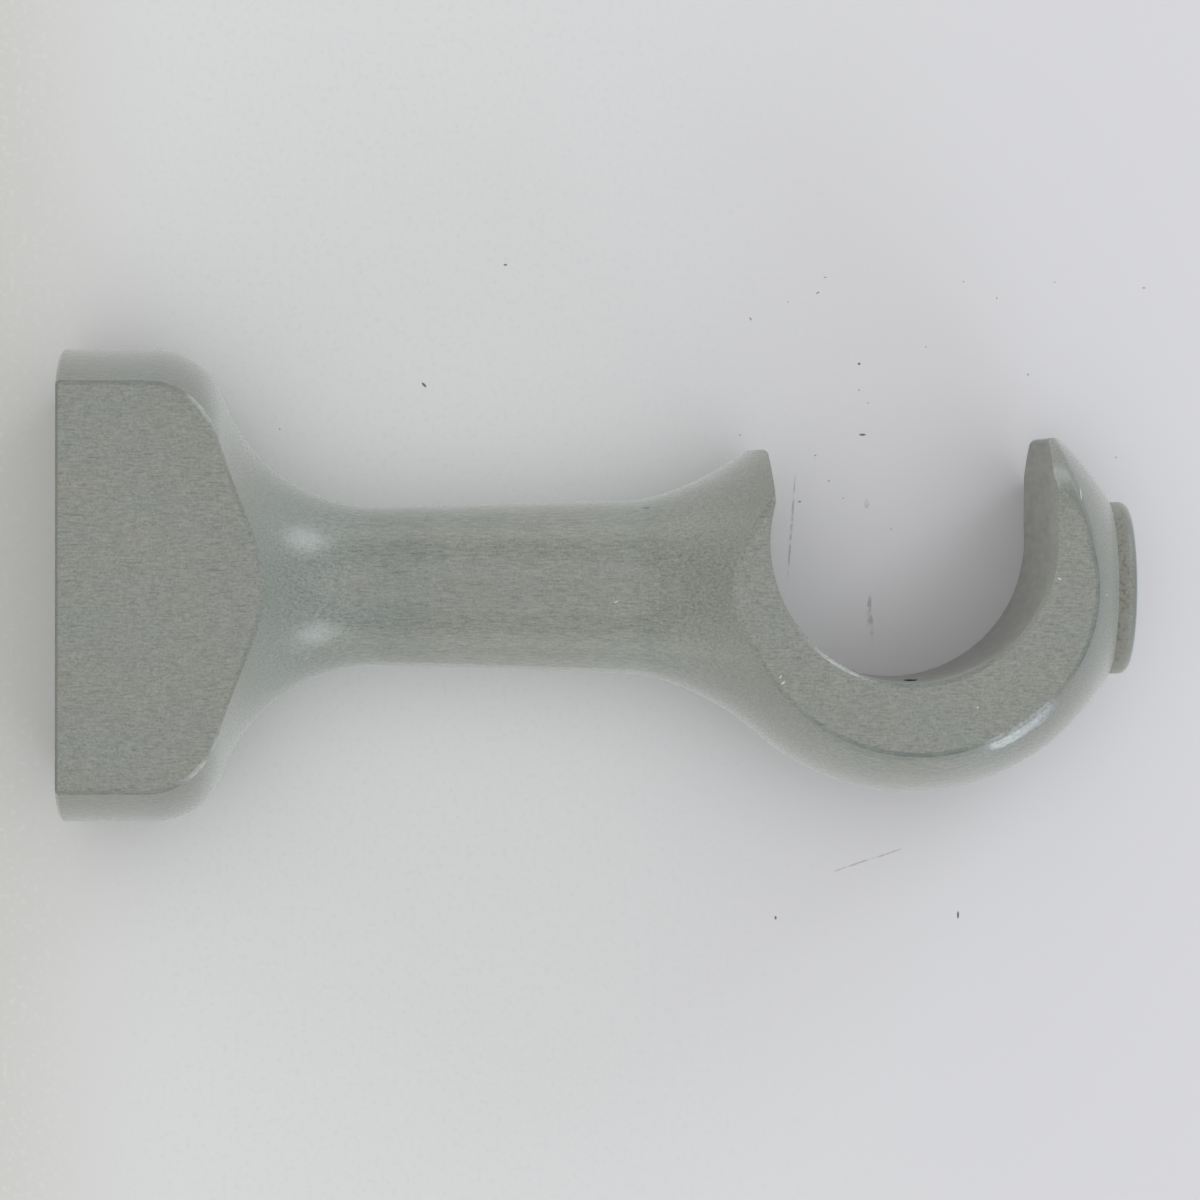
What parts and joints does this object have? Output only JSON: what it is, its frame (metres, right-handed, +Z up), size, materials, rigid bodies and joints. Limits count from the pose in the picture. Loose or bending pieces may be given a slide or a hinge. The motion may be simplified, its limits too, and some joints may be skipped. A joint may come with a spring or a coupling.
{
  "type": "curtain pole bracket",
  "caption": "Turned wooden wall bracket with a round base, a waisted arm and a cup whose seat, open at the top, carries a curtain pole.",
  "frame": {"origin": "middle of the flat wall face, at the mouth of the wall screw hole", "axes": "+X out from the wall along the arm, +Y along the pole, +Z up towards the mouth of the seat"},
  "size_m": [0.1144, 0.0264, 0.0504],
  "materials": {
    "grey_stained_wood": "satin lacquer over grey stain"
  },
  "bodies": {
    "root": {"pole_bracket": "grey_stained_wood"}
  },
  "joints": []
}
